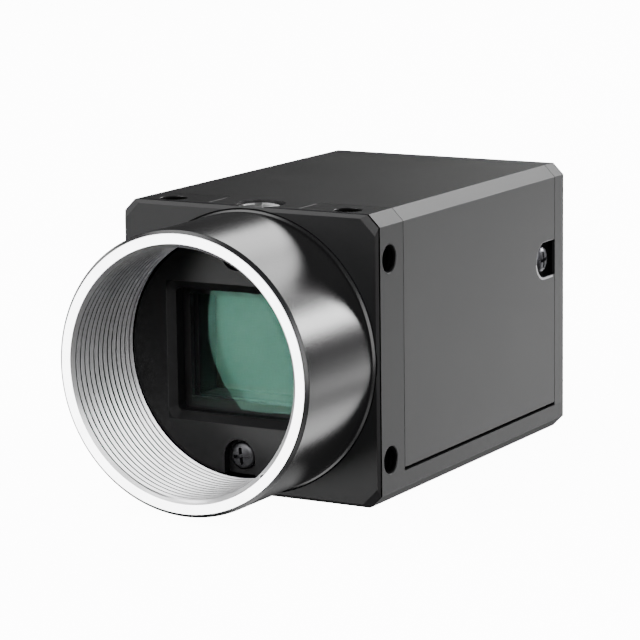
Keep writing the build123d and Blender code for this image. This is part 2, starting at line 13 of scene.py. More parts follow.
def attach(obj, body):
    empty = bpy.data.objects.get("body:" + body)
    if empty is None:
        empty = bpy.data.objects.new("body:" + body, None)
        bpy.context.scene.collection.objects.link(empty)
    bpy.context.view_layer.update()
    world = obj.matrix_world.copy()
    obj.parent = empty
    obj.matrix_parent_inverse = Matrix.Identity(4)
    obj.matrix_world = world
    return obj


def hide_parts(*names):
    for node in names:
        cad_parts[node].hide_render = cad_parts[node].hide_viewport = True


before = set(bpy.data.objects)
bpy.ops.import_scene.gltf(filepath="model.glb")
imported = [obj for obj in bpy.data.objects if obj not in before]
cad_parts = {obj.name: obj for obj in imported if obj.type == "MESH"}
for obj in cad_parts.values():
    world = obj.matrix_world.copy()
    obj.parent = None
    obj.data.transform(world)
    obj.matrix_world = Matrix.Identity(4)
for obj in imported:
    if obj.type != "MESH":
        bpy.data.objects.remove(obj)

MM = 0.001
LOG = logging.getLogger("vision_camera")
Number = Union[int, float]
Colour = tuple[float, float, float]
Place = tuple[float, float, float]
Span = tuple[float, float]
Lamp = tuple[str, Place, Span, float]
MOTTLE: Span = (0.3, 0.7)
MATT_ROUGHNESS = 0.9
MATT_GLOSS = 0.05
MERGE_DISTANCE = 0.0005 * MM


class Side(Enum):
    """Side of the body that a hole or screw faces."""

    TOP = (0.0, 0.0, 1.0)
    RIGHT = (1.0, 0.0, 0.0)
    LEFT = (-1.0, 0.0, 0.0)
    FRONT = (0.0, -1.0, 0.0)


class Wire:
    """Output socket of a shader node that takes part in plain arithmetic."""

    def __init__(self, bench: "Bench", socket: bpy.types.NodeSocket) -> None:
        """Keeps the socket and the bench that adds the nodes."""
        self.bench = bench
        self.socket = socket

    def _do(self, operation: str, *values: Union["Wire", Number], clamp: bool = False) -> "Wire":
        """Adds one Math node.

        Args:
            operation: name of the Math node's operation.
            values: its inputs in order.
            clamp: whether the result is held between 0 and 1.

        Returns:
            The result.
        """
        settings = {"operation": operation, "use_clamp": clamp}
        return self.bench.add("ShaderNodeMath", settings, dict(enumerate(values))).out()

    def __add__(self, other: Union["Wire", Number]) -> "Wire":
        """Sum."""
        return self._do("ADD", self, other)

    __radd__ = __add__

    def __sub__(self, other: Union["Wire", Number]) -> "Wire":
        """Difference."""
        return self._do("SUBTRACT", self, other)

    def __rsub__(self, other: Number) -> "Wire":
        """Difference with the number first."""
        return self._do("SUBTRACT", other, self)

    def __mul__(self, other: Union["Wire", Number]) -> "Wire":
        """Product."""
        return self._do("MULTIPLY", self, other)

    __rmul__ = __mul__

    def __truediv__(self, other: Union["Wire", Number]) -> "Wire":
        """Quotient."""
        return self._do("DIVIDE", self, other)

    def __abs__(self) -> "Wire":
        """Size without sign."""
        return self._do("ABSOLUTE", self)

    def __lt__(self, other: Union["Wire", Number]) -> "Wire":
        """1 where this is less than the other value, 0 elsewhere."""
        return self._do("LESS_THAN", self, other)

    def __gt__(self, other: Union["Wire", Number]) -> "Wire":
        """1 where this is more than the other value, 0 elsewhere."""
        return self._do("GREATER_THAN", self, other)

    def high(self, other: Union["Wire", Number]) -> "Wire":
        """Larger of the two values."""
        return self._do("MAXIMUM", self, other)

    def within(self, span: Span) -> "Wire":
        """1 where this lies inside the span, 0 elsewhere."""
        return (self > span[0]) * (self < span[1])

    def root(self) -> "Wire":
        """Square root."""
        return self._do("SQRT", self)

    def triangle(self) -> "Wire":
        """Wave that runs from 0 to 1 and back once for each whole number."""
        return self._do("PINGPONG", self, 0.5) * 2.0

    def held(self) -> "Wire":
        """The same value, held between 0 and 1."""
        return self._do("ADD", self, 0.0, clamp=True)

    def fade(self, low: float, high: float) -> "Wire":
        """Smooth step from 0 at low to 1 at high."""
        settings = {"interpolation_type": "SMOOTHSTEP"}
        inputs = {0: self, 1: low, 2: high, 3: 0.0, 4: 1.0}
        return self.bench.add("ShaderNodeMapRange", settings, inputs).out()


class Bench:
    """Node tree of one material, with the few calls that the finishes need."""

    def __init__(self, name: str) -> None:
        """Makes the material and empties its tree."""
        self.material = bpy.data.materials.new(name)
        self.material.use_nodes = True
        self.tree = self.material.node_tree
        self.tree.nodes.clear()

    def add(self, kind: str, settings: Optional[dict] = None, inputs: Optional[dict] = None) -> "Made":
        """Adds a node, sets it up and then fills its sockets.

        Args:
            kind: the node's type name.
            settings: properties of the node.
            inputs: socket name or number to a value or a wire.

        Returns:
            The node, ready to give its outputs.
        """
        node = self.tree.nodes.new(kind)
        for key, value in (settings or {}).items():
            setattr(node, key, value)
        for key, value in (inputs or {}).items():
            if isinstance(value, Wire):
                self.tree.links.new(value.socket, node.inputs[key])
            else:
                node.inputs[key].default_value = value
        return Made(self, node)

    def place(self) -> Wire:
        """Object coordinates, in metres."""
        return self.add("ShaderNodeTexCoord").out("Object")

    def split(self, vector: Wire) -> tuple[Wire, Wire, Wire]:
        """Three parts of a vector."""
        made = self.add("ShaderNodeSeparateXYZ", None, {0: vector})
        return made.out(0), made.out(1), made.out(2)

    def join(self, x: Union[Wire, Number], y: Union[Wire, Number], z: Union[Wire, Number]) -> Wire:
        """Vector of three parts."""
        return self.add("ShaderNodeCombineXYZ", None, {0: x, 1: y, 2: z}).out()

    def noise(self, vector: Wire, grain: float, detail: float = 3.0) -> Wire:
        """Noise whose spots are about grain metres across."""
        inputs = {"Vector": vector, "Scale": 1.0 / grain, "Detail": detail}
        return self.add("ShaderNodeTexNoise", None, inputs).out(0)

    def cells(self, vector: Wire, grain: float) -> Wire:
        """Distance to the nearest of many scattered points, grain metres apart."""
        inputs = {"Vector": vector, "Scale": 1.0 / grain}
        return self.add("ShaderNodeTexVoronoi", None, inputs).out("Distance")

    def stretch(self, vector: Wire, factors: Place) -> Wire:
        """Vector with each part multiplied by its own factor."""
        return self.add("ShaderNodeMapping", None, {"Vector": vector, "Scale": factors}).out()

    def blend(self, factor: Wire, first: Union[Wire, Colour], second: Union[Wire, Colour]) -> Wire:
        """Colour between two colours."""
        pair = [colour if isinstance(colour, Wire) else (*colour, 1.0) for colour in (first, second)]
        return self.add("ShaderNodeMix", {"data_type": "RGBA"}, {0: factor, 6: pair[0], 7: pair[1]}).out(2)

    def mottled(self, cloud: Wire, first: Colour, second: Colour) -> Wire:
        """Colour that drifts between two colours with a soft noise."""
        return self.blend(cloud.fade(*MOTTLE), first, second)

    def bump(self, height: Wire, depth: float, strength: float, normal: Optional[Wire] = None) -> Wire:
        """Normal bent by a height that runs from 0 to 1 over depth metres."""
        inputs = {"Height": height, "Distance": depth, "Strength": strength}
        if normal is not None:
            inputs["Normal"] = normal
        return self.add("ShaderNodeBump", None, inputs).out()

    def shader(self, inputs: dict) -> Wire:
        """Principled shader with these sockets set."""
        return self.add("ShaderNodeBsdfPrincipled", None, inputs).out()

    def matt(self, colour: Colour) -> dict:
        """Sockets of a surface without gloss."""
        return {
            "Base Color": (*colour, 1.0),
            "Roughness": MATT_ROUGHNESS,
            "Specular IOR Level": MATT_GLOSS,
        }

    def clear(self) -> Wire:
        """Shader that lets all light through."""
        return self.add("ShaderNodeBsdfTransparent").out()

    def mix(self, factor: Union[Wire, Number], first: Wire, second: Wire) -> Wire:
        """Shader between two shaders."""
        return self.add("ShaderNodeMixShader", None, {0: factor, 1: first, 2: second}).out()

    def close(self, surface: Wire) -> bpy.types.Material:
        """Joins the shader to the output and gives the material."""
        self.add("ShaderNodeOutputMaterial", None, {"Surface": surface})
        return self.material


class Made:
    """Node on the bench."""

    def __init__(self, bench: Bench, node: bpy.types.Node) -> None:
        """Keeps the node."""
        self.bench = bench
        self.node = node

    def out(self, key: Union[int, str] = 0) -> Wire:
        """One of the node's outputs."""
        return Wire(self.bench, self.node.outputs[key])


def round_hole(first: Wire, second: Wire, along: Wire, reach: float, radius: float) -> Wire:
    """Mask of a round hole.

    Args:
        first: distance from the hole's axis along one direction.
        second: the same along the other direction.
        along: how far out the point lies along the axis.
        reach: along which the hole starts, in metres.
        radius: the hole's radius, in metres.

    Returns:
        1 inside the hole and 0 elsewhere.
    """
    away = (first * first + second * second).root()
    return (away < radius) * (along > reach)


def spread_about(noise: Wire, middle: float, spread: float) -> Wire:
    """Value that a noise spreads about its middle."""
    return noise * spread + (middle - spread / 2)


def shaded(colour: Colour, share: float) -> Colour:
    """The same colour with each part multiplied by a share."""
    return tuple(part * share for part in colour)


@dataclass(frozen=True)
class PowderCoat:
    """Dark satin coat on a casting: fine grain, painted highlights along the chamfers' edges, round the
    side notches and along the tongue's edges, and painted shade in holes, seams and the body's inside.
    """

    name: str = "powder_coat"
    colour: Colour = (0.0120, 0.0120, 0.0126)
    light_colour: Colour = (0.0150, 0.0150, 0.0158)
    # Painted highlight colour for both edges of the long chamfers.
    edge_highlight_colour: Colour = (0.045, 0.045, 0.046)
    # Painted highlight colour round the side notches and along the tongue's edges.
    rim_highlight_colour: Colour = (0.42, 0.42, 0.43)
    # Painted shade colour, near black, for holes, seams, the gap round the ring and the body's inside.
    painted_shade_colour: Colour = (0.0012, 0.0012, 0.0012)
    roughness: float = 0.37
    roughness_spread: float = 0.05
    gloss: float = 0.31
    grain: float = 0.16 * MM
    grain_depth: float = 0.003 * MM
    cloud_size: float = 9 * MM
    half: float = 14.5 * MM
    skin: float = 0.02 * MM
    chamfer: float = 1.2 * MM
    edge_highlight_width: float = 0.10 * MM
    hole_radius: float = 1.40 * MM
    hole_place: float = 10.0 * MM
    hole_depth: float = 5 * MM
    hole_lead: float = 0.07 * MM
    front_row: float = 15.34 * MM
    base_row: float = 47.44 * MM
    thread_pitch: float = 0.5 * MM
    thread_depth: float = 0.15 * MM
    # Where the painted shade goes besides the holes: the seam, the gap round the ring and the body's
    # inside.
    seam: Span = (13.195 * MM, 13.485 * MM)
    foot_gap: Span = (12.845 * MM, 13.045 * MM)
    foot_radius: float = 14.37 * MM
    inside: float = 14.16 * MM
    inside_span: Span = (18.0 * MM, 54.8 * MM)
    inside_margin: float = 0.4 * MM
    notch: tuple[float, float] = (50.34 * MM, 4.65 * MM)
    notch_radius: float = 1.9 * MM
    notch_span: Span = (47.34 * MM, 52.4 * MM)
    # Sizes of the painted highlights round the side notches and along the tongue's edges.
    lip_width: float = 0.24 * MM
    lip_drop: float = 0.3 * MM
    faint_width: float = 0.10 * MM
    faint_share: float = 0.25
    tongue_edge: float = 5.16 * MM
    tongue_span: Span = (14.2 * MM, 17.6 * MM)
    tongue_line: float = 0.09 * MM
    tongue_share: float = 0.5

    def holes(self, x: Wire, y: Wire, z: Wire) -> Wire:
        """Mask of the threaded fixing holes below their countersunk mouths."""
        reach = self.half - self.hole_depth
        deep = abs(x).high(abs(z)) < self.half - self.hole_lead
        front = y - self.front_row
        top = round_hole(abs(x) - self.hole_place, front, abs(z), reach, self.hole_radius)
        base = round_hole(abs(x) - self.hole_place, y - self.base_row, -1.0 * z, reach, self.hole_radius)
        side = round_hole(abs(z) - self.hole_place, front, abs(x), reach, self.hole_radius)
        return top.high(base).high(side) * deep

    def painted_shade_recesses(self, x: Wire, y: Wire, z: Wire) -> Wire:
        """Mask of the painted shade in the seam behind the front plate, the gap round the ring and the
        body's inside.
        """
        gap = y.within(self.foot_gap) * ((x * x + z * z).root() < self.foot_radius)
        bevels = abs(x) + abs(z) < 2 * self.half - self.chamfer - self.inside_margin
        inner = (abs(x).high(abs(z)) < self.inside) * bevels * y.within(self.inside_span)
        return y.within(self.seam).high(gap).high(inner)

    def edges(self, x: Wire, z: Wire) -> Wire:
        """Mask of painted highlights: thin lighter lines along both edges of the long chamfers."""
        width = self.edge_highlight_width
        corner = abs(x) + abs(z) - (2 * self.half - self.chamfer)
        middle = abs(abs(x) - abs(z)) - self.chamfer
        return corner.fade(-width, 0.0) * middle.fade(-1.4 * width, -0.3 * width)

    def rim_highlights(self, x: Wire, y: Wire, z: Wire) -> Wire:
        """Mask of painted highlights round the side notches and along the tongue's edges."""
        before = (self.notch[0] - y).high(0.0)
        rise = z - self.notch[1]
        away = (before * before + rise * rise).root() - self.notch_radius
        lip = (away < self.lip_width) * (rise < -self.lip_drop)
        faint = (away < self.faint_width) * self.faint_share
        side = (lip + faint).held() * (abs(x) > self.half - self.skin) * y.within(self.notch_span)
        tongue = (abs(abs(x) - self.tongue_edge) < self.tongue_line) * y.within(self.tongue_span)
        return side.high(tongue * (z > self.half - self.skin) * self.tongue_share)

    def make(self) -> bpy.types.Material:
        """Builds the material."""
        bench = Bench(self.name)
        place = bench.place()
        x, y, z = bench.split(place)
        holes = self.holes(x, y, z)
        # Painted shade: the holes and recesses are painted near black and matt.
        dark = holes.high(self.painted_shade_recesses(x, y, z))
        thread = (abs(x).high(abs(z)) / self.thread_pitch).triangle() * holes
        peel = bench.noise(place, self.grain, 2.0)
        cloud = bench.noise(place, self.cloud_size)
        coat = bench.mottled(cloud, self.colour, self.light_colour)
        # Painted highlight: thin lighter lines along the chamfers' edges.
        coat = bench.blend(self.edges(x, z), coat, self.edge_highlight_colour)
        # Painted highlight round the side notches and along the tongue's edges.
        coat = bench.blend(self.rim_highlights(x, y, z), coat, self.rim_highlight_colour)
        normal = bench.bump(peel * (1 - dark), self.grain_depth, 0.4)
        normal = bench.bump(thread, self.thread_depth, 0.6, normal)
        shader = bench.shader({
            "Base Color": coat,
            "Roughness": spread_about(cloud, self.roughness, self.roughness_spread),
            "Specular IOR Level": self.gloss,
            "Normal": normal,
        })
        # Matt near-black shader that carries the painted shade.
        black = bench.shader({**bench.matt(self.painted_shade_colour), "Normal": normal})
        return bench.close(bench.mix(dark, shader, black))


@dataclass(frozen=True)
class TurnedMetal:
    """Turned metal: fine rings round the optical axis, bare or anodised."""

    name: str
    colour: Colour
    metallic: float
    roughness: float
    spread: float
    shade: float = 0.88
    cloud_size: float = 4 * MM
    ring_pitch: float = 0.05 * MM
    ring_depth: float = 0.0006 * MM

    def make(self) -> bpy.types.Material:
        """Builds the material."""
        bench = Bench(self.name)
        place = bench.place()
        x, y, z = bench.split(place)
        away = (x * x + z * z).root()
        lines = bench.noise(bench.join(away, y, 0.0), self.ring_pitch, 2.0)
        cloud = bench.noise(place, self.cloud_size)
        shader = bench.shader({
            "Base Color": bench.mottled(cloud, self.colour, shaded(self.colour, self.shade)),
            "Metallic": self.metallic,
            "Roughness": spread_about(lines, self.roughness, self.spread),
            "Normal": bench.bump(lines, self.ring_depth, 0.6),
        })
        return bench.close(shader)


@dataclass(frozen=True)
class Moulded:
    """Moulded plastic, rubber or ceramic with a fine spark-eroded grain.

    The slopes round a sunk window can be more matt: well holds the window's half width
    and half height, and well_share says how much of the gloss goes.
    """

    name: str
    colour: Colour
    roughness: float
    spread: float = 0.12
    grain: float = 0.12 * MM
    grain_depth: float = 0.004 * MM
    cloud_size: float = 5 * MM
    coat: float = 0.0
    gloss: float = 0.5
    well: tuple[float, float] = (0.0, 0.0)
    well_share: float = 0.0

    def make(self) -> bpy.types.Material:
        """Builds the material."""
        bench = Bench(self.name)
        place = bench.place()
        grain = bench.noise(place, self.grain, 2.0)
        cloud = bench.noise(place, self.cloud_size)
        lighter = tuple(part * 1.25 + 0.001 for part in self.colour)
        shader = bench.shader({
            "Base Color": bench.mottled(cloud, self.colour, lighter),
            "Roughness": spread_about(grain, self.roughness, self.spread),
            "Coat Weight": self.coat,
            "Specular IOR Level": self.gloss,
            "Normal": bench.bump(grain, self.grain_depth, 0.5),
        })
        if self.well_share:
            x, _, z = bench.split(place)
            sunk = (abs(x) < self.well[0]) * (abs(z) < self.well[1]) * self.well_share
            shader = bench.mix(sunk, shader, bench.shader(bench.matt(self.colour)))
        return bench.close(shader)


@dataclass(frozen=True)
class Plated:
    """Metal plating or bare metal on a small part, with faint scratches."""

    name: str
    colour: Colour
    roughness: float
    spread: float = 0.08
    shade: float = 0.84
    streak_size: float = 0.3 * MM
    streak_stretch: Place = (1.0, 0.12, 1.0)
    streak_depth: float = 0.0008 * MM
    cloud_size: float = 2.4 * MM

    def make(self) -> bpy.types.Material:
        """Builds the material."""
        bench = Bench(self.name)
        place = bench.place()
        streaks = bench.noise(bench.stretch(place, self.streak_stretch), self.streak_size, 2.0)
        cloud = bench.noise(place, self.cloud_size, 2.0)
        shader = bench.shader({
            "Base Color": bench.blend(cloud.fade(0.35, 0.75), self.colour, shaded(self.colour, self.shade)),
            "Metallic": 1.0,
            "Roughness": spread_about(streaks, self.roughness, self.spread),
            "Normal": bench.bump(streaks, self.streak_depth, 0.3),
        })
        return bench.close(shader)


@dataclass(frozen=True)
class CoatedGlass:
    """Glass with a thin coating: part of the light is mirrored in the coating's colour."""

    name: str
    mirror: Colour
    share: float
    shade: float = 0.93
    roughness: float = 0.015
    cloud_size: float = 6 * MM

    def make(self) -> bpy.types.Material:
        """Builds the material."""
        bench = Bench(self.name)
        cloud = bench.noise(bench.place(), self.cloud_size, 2.0)
        coating = bench.shader({
            "Base Color": bench.mottled(cloud, self.mirror, shaded(self.mirror, self.shade)),
            "Metallic": 1.0,
            "Roughness": self.roughness,
        })
        return bench.close(bench.mix(self.share, bench.clear(), coating))


@dataclass(frozen=True)
class Silicon:
    """Sensor die: dark polished silicon with a fine grid of pixels and a lighter frame of pads."""

    name: str = "silicon"
    half_width: float = 6.4 * MM
    half_height: float = 4.7 * MM
    grid: float = 0.12 * MM
    low_colour: Colour = (0.003, 0.008, 0.008)
    high_colour: Colour = (0.006, 0.014, 0.014)
    frame_colour: Colour = (0.02, 0.018, 0.014)

    def make(self) -> bpy.types.Material:
        """Builds the material."""
        bench = Bench(self.name)
        x, _, z = bench.split(bench.place())
        inside = (abs(x) < self.half_width) * (abs(z) < self.half_height)
        rows = (x / self.grid).triangle() * (z / self.grid).triangle()
        picture = bench.blend(rows.fade(0.2, 0.9), self.low_colour, self.high_colour)
        shader = bench.shader({
            "Base Color": bench.blend(inside, self.frame_colour, picture),
            "Metallic": 0.35 - inside * 0.3,
            "Roughness": inside * 0.1 + 0.4,
            "Specular IOR Level": 0.02,
        })
        return bench.close(shader)


@dataclass(frozen=True)
class CircuitBoard:
    """Green solder mask over copper traces, with tinned pads."""

    name: str = "circuit_board"
    block_size: float = 3.2 * MM
    trace_pitch: float = 0.55 * MM
    pad_pitch: float = 0.9 * MM
    relief: float = 0.03 * MM
    mask_colour: Colour = (0.006, 0.055, 0.022)
    trace_colour: Colour = (0.010, 0.10, 0.036)
    pad_colour: Colour = (0.55, 0.55, 0.52)

    def make(self) -> bpy.types.Material:
        """Builds the material."""
        bench = Bench(self.name)
        place = bench.place()
        x, _, z = bench.split(place)
        turn = bench.noise(place, self.block_size, 0.0) > 0.5
        across = (x / self.trace_pitch).triangle().fade(0.55, 0.6)
        upright = (z / self.trace_pitch).triangle().fade(0.55, 0.6)
        trace = across * turn + upright * (1 - turn)
        pads = bench.cells(bench.stretch(place, (1.0, 0.0, 1.0)), self.pad_pitch) < 0.2
        mask = bench.blend(trace, self.mask_colour, self.trace_colour)
        shader = bench.shader({
            "Base Color": bench.blend(pads, mask, self.pad_colour),
            "Metallic": pads * 0.9,
            "Roughness": 0.34 - pads * 0.06,
            "Normal": bench.bump(trace.high(pads), self.relief, 0.6),
        })
        return bench.close(shader)


@dataclass(frozen=True)
class LightPipe:
    """Clear moulded plastic with a pale core."""

    name: str = "light_pipe"
    colour: Colour = (0.72, 0.78, 0.74)
    light_colour: Colour = (0.80, 0.85, 0.82)
    cloud_size: float = 0.5 * MM

    def make(self) -> bpy.types.Material:
        """Builds the material."""
        bench = Bench(self.name)
        cloud = bench.noise(bench.place(), self.cloud_size, 2.0)
        shader = bench.shader({
            "Base Color": bench.mottled(cloud, self.colour, self.light_colour),
            "Roughness": cloud * 0.06 + 0.1,
            "Transmission Weight": 0.6,
            "IOR": 1.49,
            "Coat Weight": 0.3,
        })
        return bench.close(shader)


@dataclass(frozen=True)
class PaleFloor:
    """Plain pale studio floor, clear from its rear side so that the underside can be seen."""

    name: str = "pale_floor"
    colour: Colour = (0.88, 0.88, 0.88)
    light_colour: Colour = (0.90, 0.90, 0.90)
    cloud_size: float = 90 * MM
    glow: float = 12.0

    def make(self) -> bpy.types.Material:
        """Builds the material."""
        bench = Bench(self.name)
        cloud = bench.noise(bench.place(), self.cloud_size, 2.0)
        shader = bench.shader({
            "Base Color": bench.mottled(cloud, self.colour, self.light_colour),
            "Roughness": 0.9,
            "Specular IOR Level": 0.1,
            "Emission Color": (1.0, 1.0, 1.0, 1.0),
            "Emission Strength": self.glow,
        })
        behind = bench.add("ShaderNodeNewGeometry").out("Backfacing")
        return bench.close(bench.mix(behind, shader, bench.clear()))


class Finishes:
    """All materials of the camera, each made once."""

    def __init__(self) -> None:
        """Makes the materials."""
        self.coat = PowderCoat().make()
        self.casting_coat = PowderCoat("casting_coat", gloss=0.24).make()
        self.ring_black = TurnedMetal("ring_black_anodised", (0.010, 0.010, 0.0105), 0.0, 0.27, 0.005,
                                      ring_depth=0.00003 * MM).make()
        self.ring_bare = TurnedMetal("ring_bare_metal", (0.93, 0.93, 0.94), 1.0, 0.17, 0.06).make()
        self.thread_bare = TurnedMetal("thread_bare_metal", (0.88, 0.88, 0.89), 1.0, 0.34, 0.06).make()
        self.mask = Moulded("mask_black", (0.009, 0.009, 0.0095), 0.40, gloss=0.30,
                            well=(8.16 * MM, 7.01 * MM), well_share=0.6).make()
        self.filter = CoatedGlass("filter_coating", (0.124, 0.290, 0.228), 0.046).make()
        self.cover_glass = CoatedGlass("sensor_cover_glass", (0.025, 0.058, 0.036), 0.022).make()
        self.seal = Moulded("seal_rubber", (0.012, 0.012, 0.012), 0.7).make()
        self.ceramic = Moulded("sensor_ceramic", (0.012, 0.011, 0.011), 0.6).make()
        self.silicon = Silicon().make()
        self.board = CircuitBoard().make()
        self.brass = Plated("turned_brass", (0.78, 0.60, 0.28), 0.28).make()
        self.zinc = Plated("zinc_plate", (0.62, 0.62, 0.62), 0.3).make()
        self.nickel = Plated("nickel_plate", (0.66, 0.65, 0.62), 0.26).make()
        self.gold = Plated("gold_plate", (0.90, 0.66, 0.26), 0.22).make()
        self.grey_steel = Plated("grey_steel", (0.10, 0.10, 0.105), 0.42).make()
        self.dark_steel = Plated("blackened_steel", (0.10, 0.10, 0.11), 0.34).make()
        self.black_plastic = Moulded("black_plastic", (0.014, 0.014, 0.015), 0.4).make()
        self.chip = Moulded("chip_plastic", (0.02, 0.02, 0.022), 0.5).make()
        self.light_chip = Moulded("light_chip", (0.72, 0.72, 0.64), 0.25, coat=0.5).make()
        self.light_pipe = LightPipe().make()
        self.floor = PaleFloor().make()


def put_in_scene(name: str, mesh: bmesh.types.BMesh,
                 materials: Iterable[bpy.types.Material]) -> bpy.types.Object:
    """Turns a finished bmesh into an object at the origin.

    Args:
        name: the piece's name.
        mesh: the shape, in metres, in place.
        materials: its material slots in order.

    Returns:
        The new object.
    """
    data = bpy.data.meshes.new(name)
    mesh.to_mesh(data)
    mesh.free()
    for material in materials:
        data.materials.append(material)
    piece = bpy.data.objects.new(name, data)
    bpy.context.scene.collection.objects.link(piece)
    return piece


def pour(part: bmesh.types.BMesh, whole: bmesh.types.BMesh) -> None:
    """Adds one bmesh to another and frees the first."""
    data = bpy.data.meshes.new("poured_part")
    part.to_mesh(data)
    part.free()
    whole.from_mesh(data)
    bpy.data.meshes.remove(data)


def smooth_by_angle(piece: bpy.types.Object, degrees: float) -> None:
    """Shades a piece smooth and marks its edges sharp where faces turn by more than the angle."""
    shape = bmesh.new()
    shape.from_mesh(piece.data)
    for face in shape.faces:
        face.smooth = True
    for edge in shape.edges:
        edge.smooth = len(edge.link_faces) != 2 or edge.calc_face_angle(0.0) < math.radians(degrees)
    shape.to_mesh(piece.data)
    shape.free()


@dataclass
class LensRing:
    """Lens mount ring with its real helical thread."""

    finishes: Finishes
    outer_radius: float = 14.0 * MM
    edge_chamfer: float = 0.33 * MM
    mouth_radius: float = 12.68 * MM
    root_radius: float = 12.66 * MM
    crest_radius: float = 12.27 * MM
    relief_radius: float = 12.80 * MM
    thread_end: float = 10.60 * MM
    foot_start: float = 12.645 * MM
    foot_radius: float = 14.25 * MM
    foot_seat: float = 13.04 * MM
    shoulder: float = 13.48 * MM
    spigot_radius: float = 13.2 * MM
    spigot_end: float = 14.33 * MM
    pitch: float = 25.4 * MM / 32
    foot_share: float = 0.44
    crest_share: float = 0.125
    root_overlap: float = 0.02 * MM
    lead_slope: float = 2.4
    lip: float = 0.02 * MM
    bore_margin: float = 0.05 * MM
    edge_round: float = 0.05 * MM
    wall_steps: int = 160
    thread_steps: int = 144
    flat_angle: float = 6.0

    def profile(self) -> list[tuple[float, float]]:
        """Closed outline of the ring's wall, as radius and place along the axis."""
        return [
            (self.mouth_radius, 0.0),
            (self.outer_radius - self.edge_chamfer, 0.0),
            (self.outer_radius, self.edge_chamfer),
            (self.outer_radius, self.foot_start),
            (self.foot_radius, self.foot_start + self.foot_radius - self.outer_radius),
            (self.foot_radius, self.foot_seat),
            (self.outer_radius, self.foot_seat),
            (self.outer_radius, self.shoulder),
            (self.spigot_radius, self.shoulder),
            (self.spigot_radius, self.spigot_end),
            (self.relief_radius, self.spigot_end),
            (self.relief_radius, self.thread_end),
            (self.root_radius, self.thread_end),
            (self.root_radius, self.lip),
        ]

    def wall(self) -> bmesh.types.BMesh:
        """Spins the wall and rounds its outer edges."""
        shape = bmesh.new()
        corners = [shape.verts.new((radius, along, 0.0)) for radius, along in self.profile()]
        outline = [shape.edges.new((corners[i - 1], corners[i])) for i in range(len(corners))]
        bmesh.ops.spin(shape, geom=corners + outline, axis=(0, 1, 0), cent=(0, 0, 0),
                       angle=math.tau, steps=self.wall_steps, use_merge=True)
        bmesh.ops.remove_doubles(shape, verts=shape.verts, dist=MERGE_DISTANCE)
        bmesh.ops.recalc_face_normals(shape, faces=shape.faces)
        rings = [edge for edge in shape.edges if self.is_outer_ring(edge)]
        bmesh.ops.bevel(shape, geom=rings, offset=self.edge_round, offset_type="OFFSET", affect="EDGES",
                        segments=2, profile=0.5, material=-1)
        return shape

    def is_outer_ring(self, edge: bmesh.types.BMEdge) -> bool:
        """Whether an edge runs round the outside of the wall at a sharp corner."""
        first, second = (self.radius_of(vert) for vert in edge.verts)
        level = abs(first - second) < 2 * MERGE_DISTANCE
        outside = first > self.outer_radius - 2 * self.edge_chamfer
        return level and outside and edge.calc_face_angle(0.0) > math.radians(30)

    @staticmethod
    def radius_of(vert: bmesh.types.BMVert) -> float:
        """Distance of a corner from the optical axis."""
        return math.hypot(vert.co.x, vert.co.z)

    def thread(self) -> bmesh.types.BMesh:
        """Winds the thread's tooth along its helix and trims it to the bore."""
        shape = bmesh.new()
        foot = self.foot_share * self.pitch
        crest = self.crest_share * self.pitch
        base = self.root_radius + self.root_overlap
        start = -self.pitch
        outline = [(base, -foot), (self.crest_radius, -crest), (self.crest_radius, crest), (base, foot)]
        corners = [shape.verts.new((radius, start + along, 0.0)) for radius, along in outline]
        edges = [shape.edges.new((corners[i - 1], corners[i])) for i in range(4)]
        turns = math.ceil(self.thread_end / self.pitch) + 2
        steps = turns * self.thread_steps
        step = Vector((0, self.pitch / self.thread_steps, 0))
        bmesh.ops.spin(shape, geom=corners + edges, axis=(0, 1, 0), cent=(0, 0, 0), dvec=step,
                       angle=math.tau * turns, steps=steps, use_merge=False)
        self.trim(shape, 0.0, clear_inner=True)
        self.trim(shape, self.thread_end, clear_inner=False)
        for vert in shape.verts:
            radius = self.radius_of(vert)
            least = min(self.mouth_radius - vert.co.y * self.lead_slope, base)
            if radius < least:
                vert.co.x *= least / radius
                vert.co.z *= least / radius
        bmesh.ops.remove_doubles(shape, verts=shape.verts, dist=MERGE_DISTANCE)
        bmesh.ops.recalc_face_normals(shape, faces=shape.faces)
        return shape

    @staticmethod
    def trim(shape: bmesh.types.BMesh, along: float, clear_inner: bool) -> None:
        """Cuts the thread off square at a place along the axis and closes the cut."""
        geometry = shape.verts[:] + shape.edges[:] + shape.faces[:]
        cut = bmesh.ops.bisect_plane(shape, geom=geometry, plane_co=(0, along, 0), plane_no=(0, 1, 0),
                                     clear_inner=clear_inner, clear_outer=not clear_inner)
        rim = [item for item in cut["geom_cut"] if isinstance(item, bmesh.types.BMEdge)]
        closed = bmesh.ops.holes_fill(shape, edges=rim, sides=0)
        bmesh.ops.triangulate(shape, faces=closed["faces"])

    def build(self) -> bpy.types.Object:
        """Joins wall and thread into one piece and gives each face its finish."""
        shape = self.wall()
        pour(self.thread(), shape)
        for face in shape.faces:
            face.material_index = self.finish_of(face.calc_center_median())
        made = (self.finishes.ring_black, self.finishes.ring_bare, self.finishes.thread_bare)
        piece = put_in_scene("lens_mount_ring_threaded", shape, made)
        smooth_by_angle(piece, self.flat_angle)
        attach(piece, "root")
        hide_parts("lens_mount_ring")
        return piece

    def finish_of(self, centre: Vector) -> int:
        """Material slot of a face: 0 for the black wall, 1 for the bare front face, 2 for the bare bore."""
        radius = math.hypot(centre.x, centre.z)
        if self.lip < centre.y < self.thread_end and radius < self.relief_radius - self.bore_margin:
            return 2
        return int(centre.y < self.lip and radius < self.outer_radius - self.edge_chamfer)


